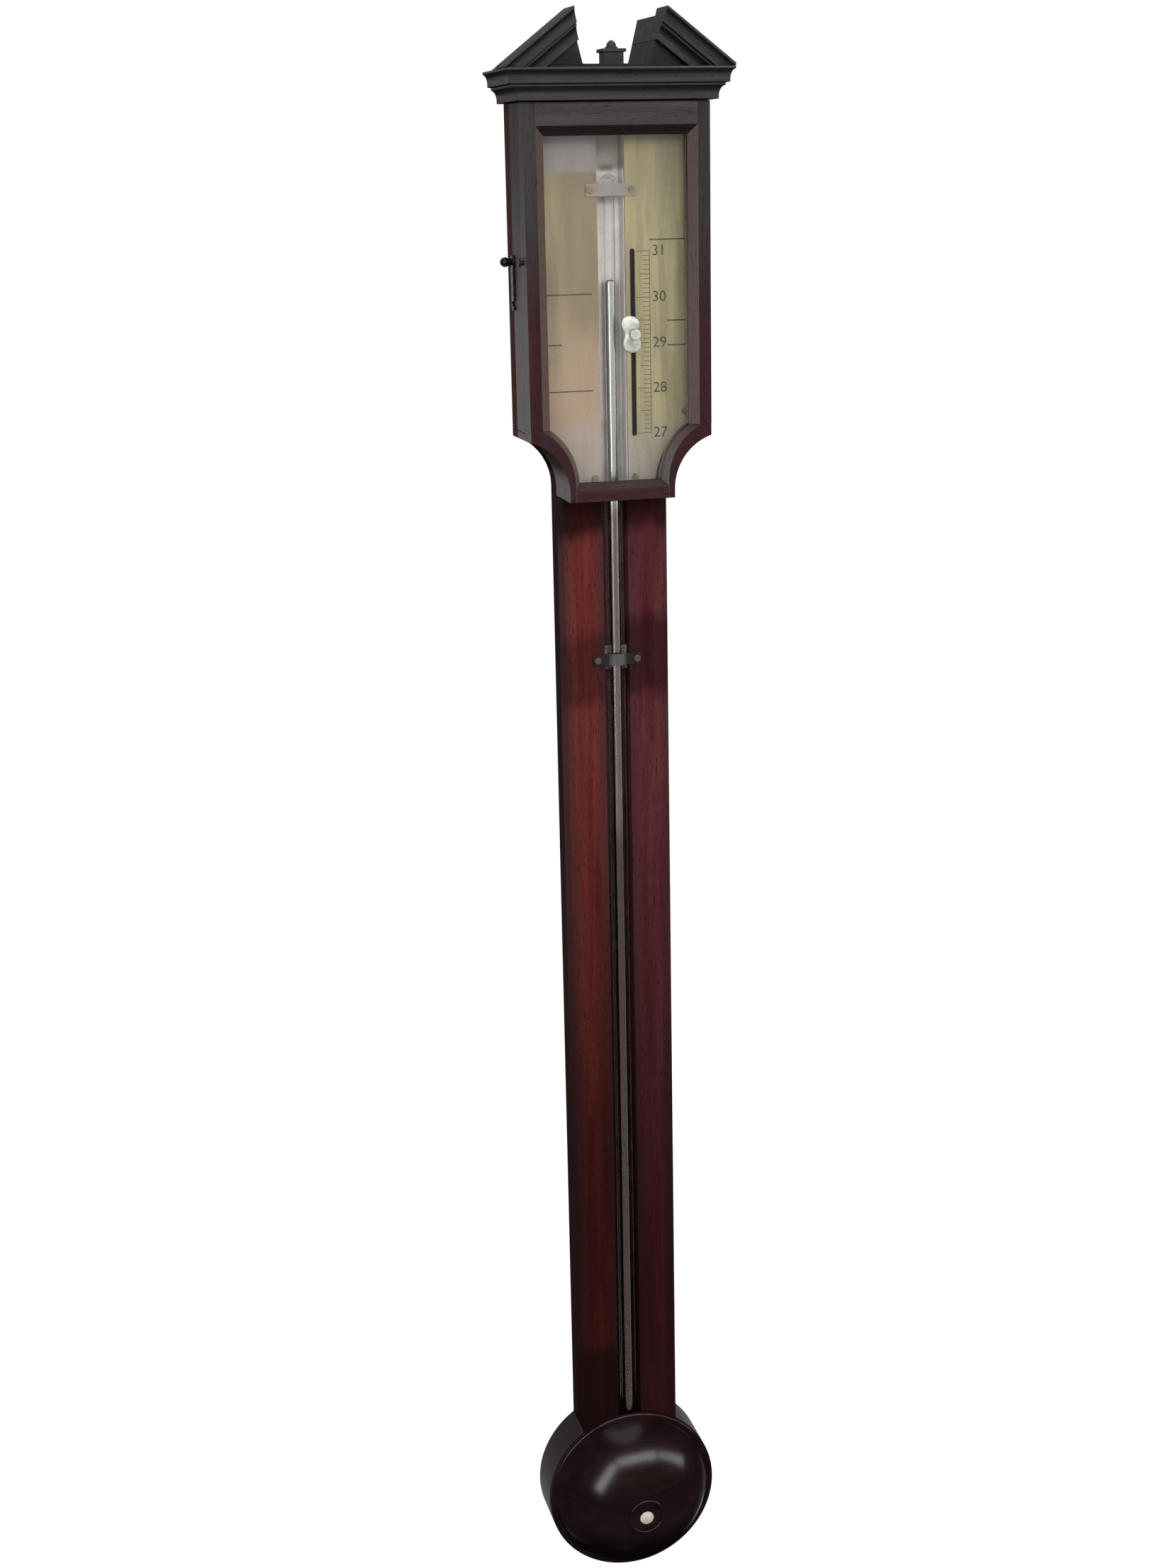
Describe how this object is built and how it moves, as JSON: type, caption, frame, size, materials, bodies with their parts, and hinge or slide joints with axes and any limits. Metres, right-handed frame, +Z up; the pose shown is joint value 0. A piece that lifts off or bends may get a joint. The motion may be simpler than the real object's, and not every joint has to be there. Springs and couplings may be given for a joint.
{
  "type": "stick barometer",
  "caption": "Wall-hung stick barometer: mahogany case with a broken pediment, hinged glazed door over silvered scale plates with a sliding vernier, open tube channel and domed cistern cover.",
  "frame": {"origin": "middle of the hanging hole in the plate on the back, on the plane of the wall", "axes": "+X to the right seen from the front, +Y into the wall, +Z up along the tube"},
  "size_m": [0.129, 0.0666, 0.971],
  "materials": {
    "mahogany": "polished, aged",
    "dark_mahogany": "polished, darkened by age",
    "ebonised_wood": "turned, glossy",
    "boxwood": "turned",
    "silvered_brass": "silvered, tarnished",
    "brass": "dulled",
    "tube_glass": "clear",
    "window_glass": "clear",
    "mercury": "liquid metal",
    "leather": "plain",
    "cork": "plain",
    "bone": "polished"
  },
  "bodies": {
    "case": {"backboard": "mahogany", "trunk_front_left": "mahogany", "trunk_front_right": "mahogany", "channel_fillet": "dark_mahogany", "head_side_left": "dark_mahogany", "head_side_right": "dark_mahogany", "head_top_rail": "dark_mahogany", "shoulder_left": "dark_mahogany", "shoulder_right": "dark_mahogany", "register_ground_left": "mahogany", "register_ground_right": "mahogany", "entablature": "dark_mahogany", "cornice_front": "dark_mahogany", "cornice_return_left": "dark_mahogany", "cornice_return_right": "dark_mahogany", "pediment_block": "dark_mahogany", "rake_left": "dark_mahogany", "rake_right": "dark_mahogany", "finial_plinth": "dark_mahogany", "finial": "dark_mahogany", "cistern_block": "ebonised_wood", "cistern_cover": "ebonised_wood", "cover_button": "bone", "cover_screws": "brass", "cistern_body": "boxwood", "cistern_cap": "boxwood", "cistern_leather": "leather", "cistern_base": "boxwood", "cistern_mercury": "mercury", "tube": "tube_glass", "mercury_column": "mercury", "channel_plate": "silvered_brass", "register_plate_left": "silvered_brass", "register_plate_right": "silvered_brass", "register_screws": "brass", "tube_clip_upper": "silvered_brass", "tube_clip_lower": "brass", "clip_screws": "brass", "tube_pad": "cork", "case_hinge_leaves": "brass", "hinge_pins": "brass", "case_hinge_screws": "brass", "catch_pivot": "brass", "hanging_plate": "brass", "hanging_screws": "brass"},
    "door": {"door_top_rail": "dark_mahogany", "door_stile_left": "dark_mahogany", "door_stile_right": "dark_mahogany", "door_shoulder_left": "dark_mahogany", "door_shoulder_right": "dark_mahogany", "door_bottom_rail": "dark_mahogany", "door_glass": "window_glass", "glazing_bead": "dark_mahogany", "door_hinge_leaves": "brass", "door_hinge_screws": "brass", "catch_pin": "brass"},
    "vernier": {"vernier_plate": "silvered_brass", "vernier_knob": "silvered_brass", "vernier_shoe": "brass"},
    "hook": {"catch_hook": "brass"}
  },
  "joints": [
    {"name": "door_hinge", "type": "hinge", "parent": "case", "child": "door", "pos_m": [0.0542, -0.03215, 0], "axis": [0, 0, 1], "range_deg": [0, 110]},
    {"name": "vernier_slide", "type": "slide", "parent": "case", "child": "vernier", "axis": [0, 0, 1], "range_m": [-0.05588, 0.04572]},
    {"name": "hook_pivot", "type": "hinge", "parent": "case", "child": "hook", "pos_m": [-0.0532, -0.016, -0.049], "axis": [-1, 0, 0], "range_deg": [0, 90]}
  ]
}
